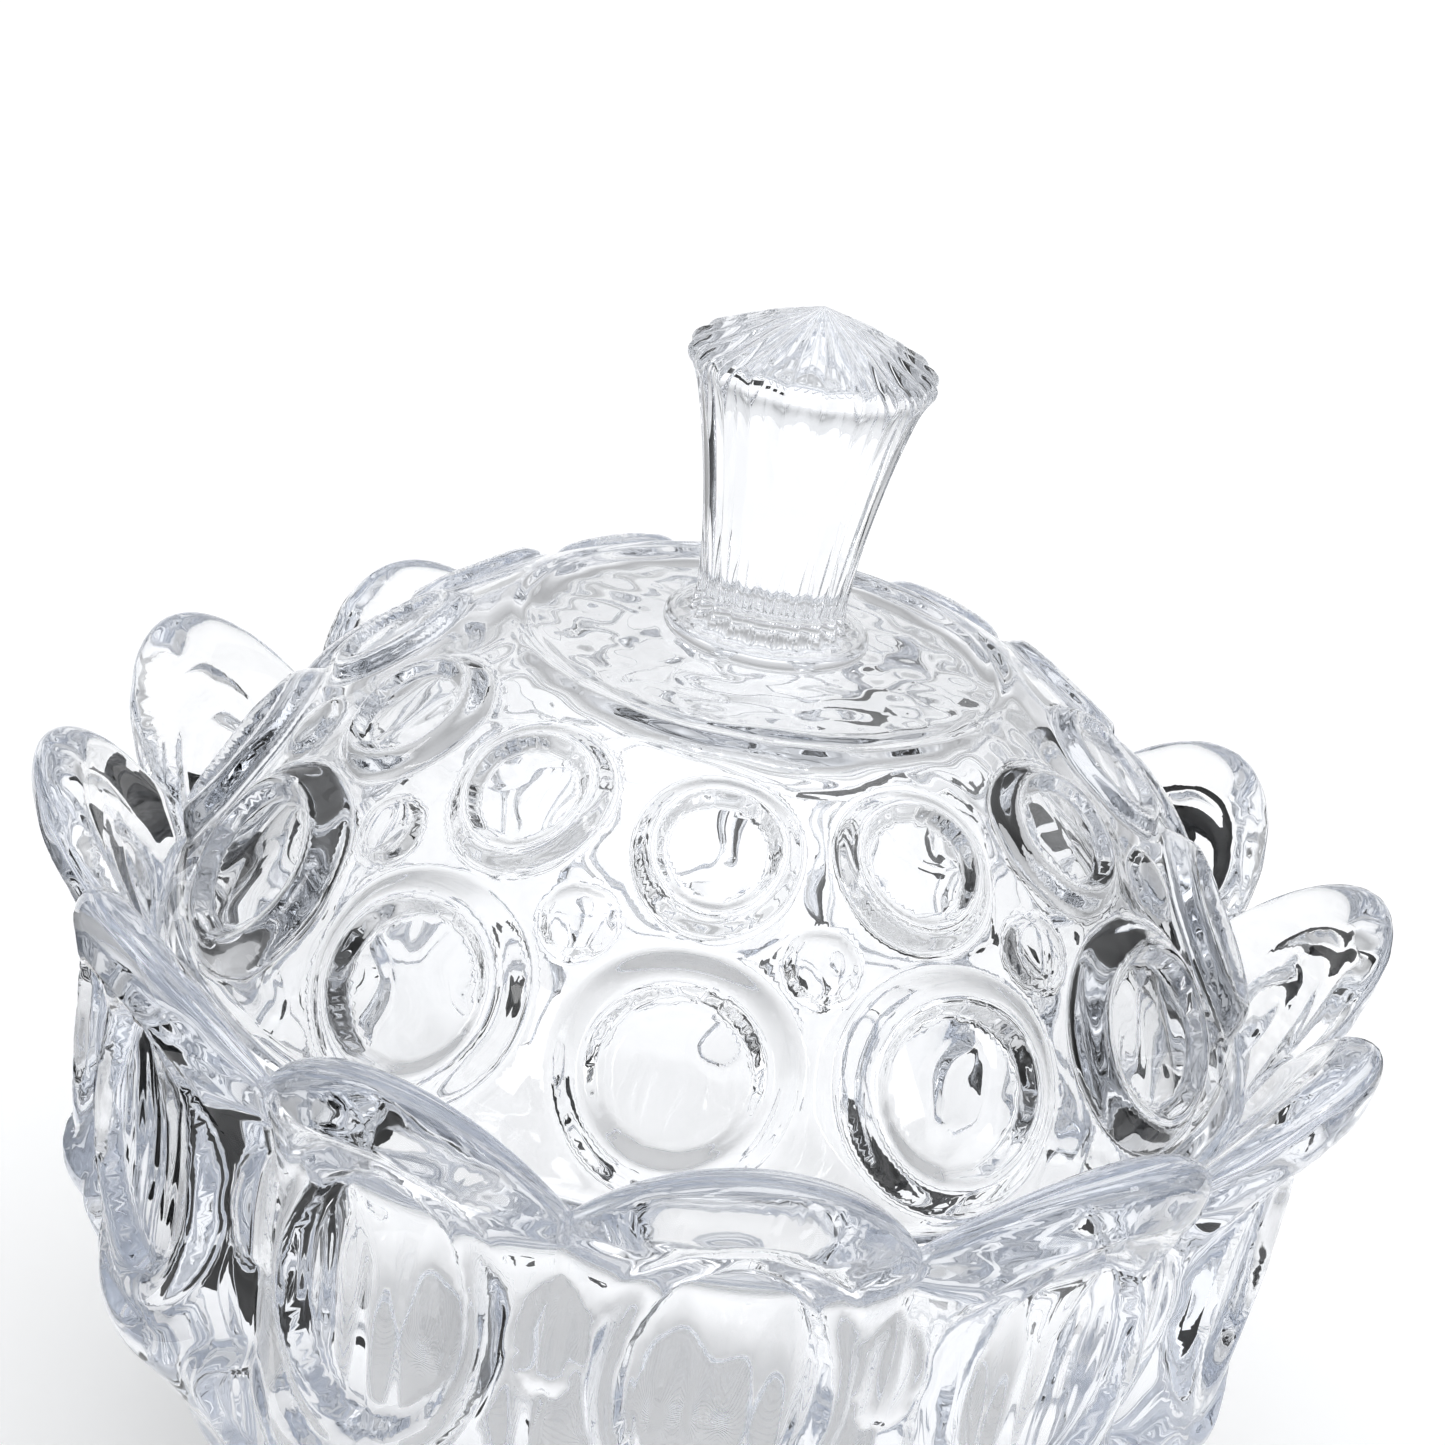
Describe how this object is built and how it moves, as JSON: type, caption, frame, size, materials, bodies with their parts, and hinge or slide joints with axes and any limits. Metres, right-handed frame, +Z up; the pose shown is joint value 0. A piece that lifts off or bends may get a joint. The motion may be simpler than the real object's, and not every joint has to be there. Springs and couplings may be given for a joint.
{
  "type": "powder jar",
  "caption": "Lotus-petalled pressed crystal powder jar with a domed medallion lid that lifts off by its fluted knob.",
  "frame": {"origin": "centre of the foot, on the surface that the jar stands on", "axes": "+Z up through the knob, -Y out through the middle of one petal"},
  "size_m": [0.139, 0.139, 0.136],
  "materials": {
    "bowl_crystal": "fire-polished pressed crystal, clear and colourless",
    "lid_crystal": "fire-polished pressed crystal, clear and colourless, with slight waves",
    "knob_crystal": "fire-polished pressed crystal, clear and colourless, fluted"
  },
  "bodies": {
    "bowl": {"bowl": "bowl_crystal"},
    "lid": {"lid": "lid_crystal", "knob": "knob_crystal"}
  },
  "joints": [
    {"name": "lid_lift", "type": "slide", "parent": "bowl", "child": "lid", "axis": [0, 0, 1], "range_m": [0, 0.05]}
  ]
}
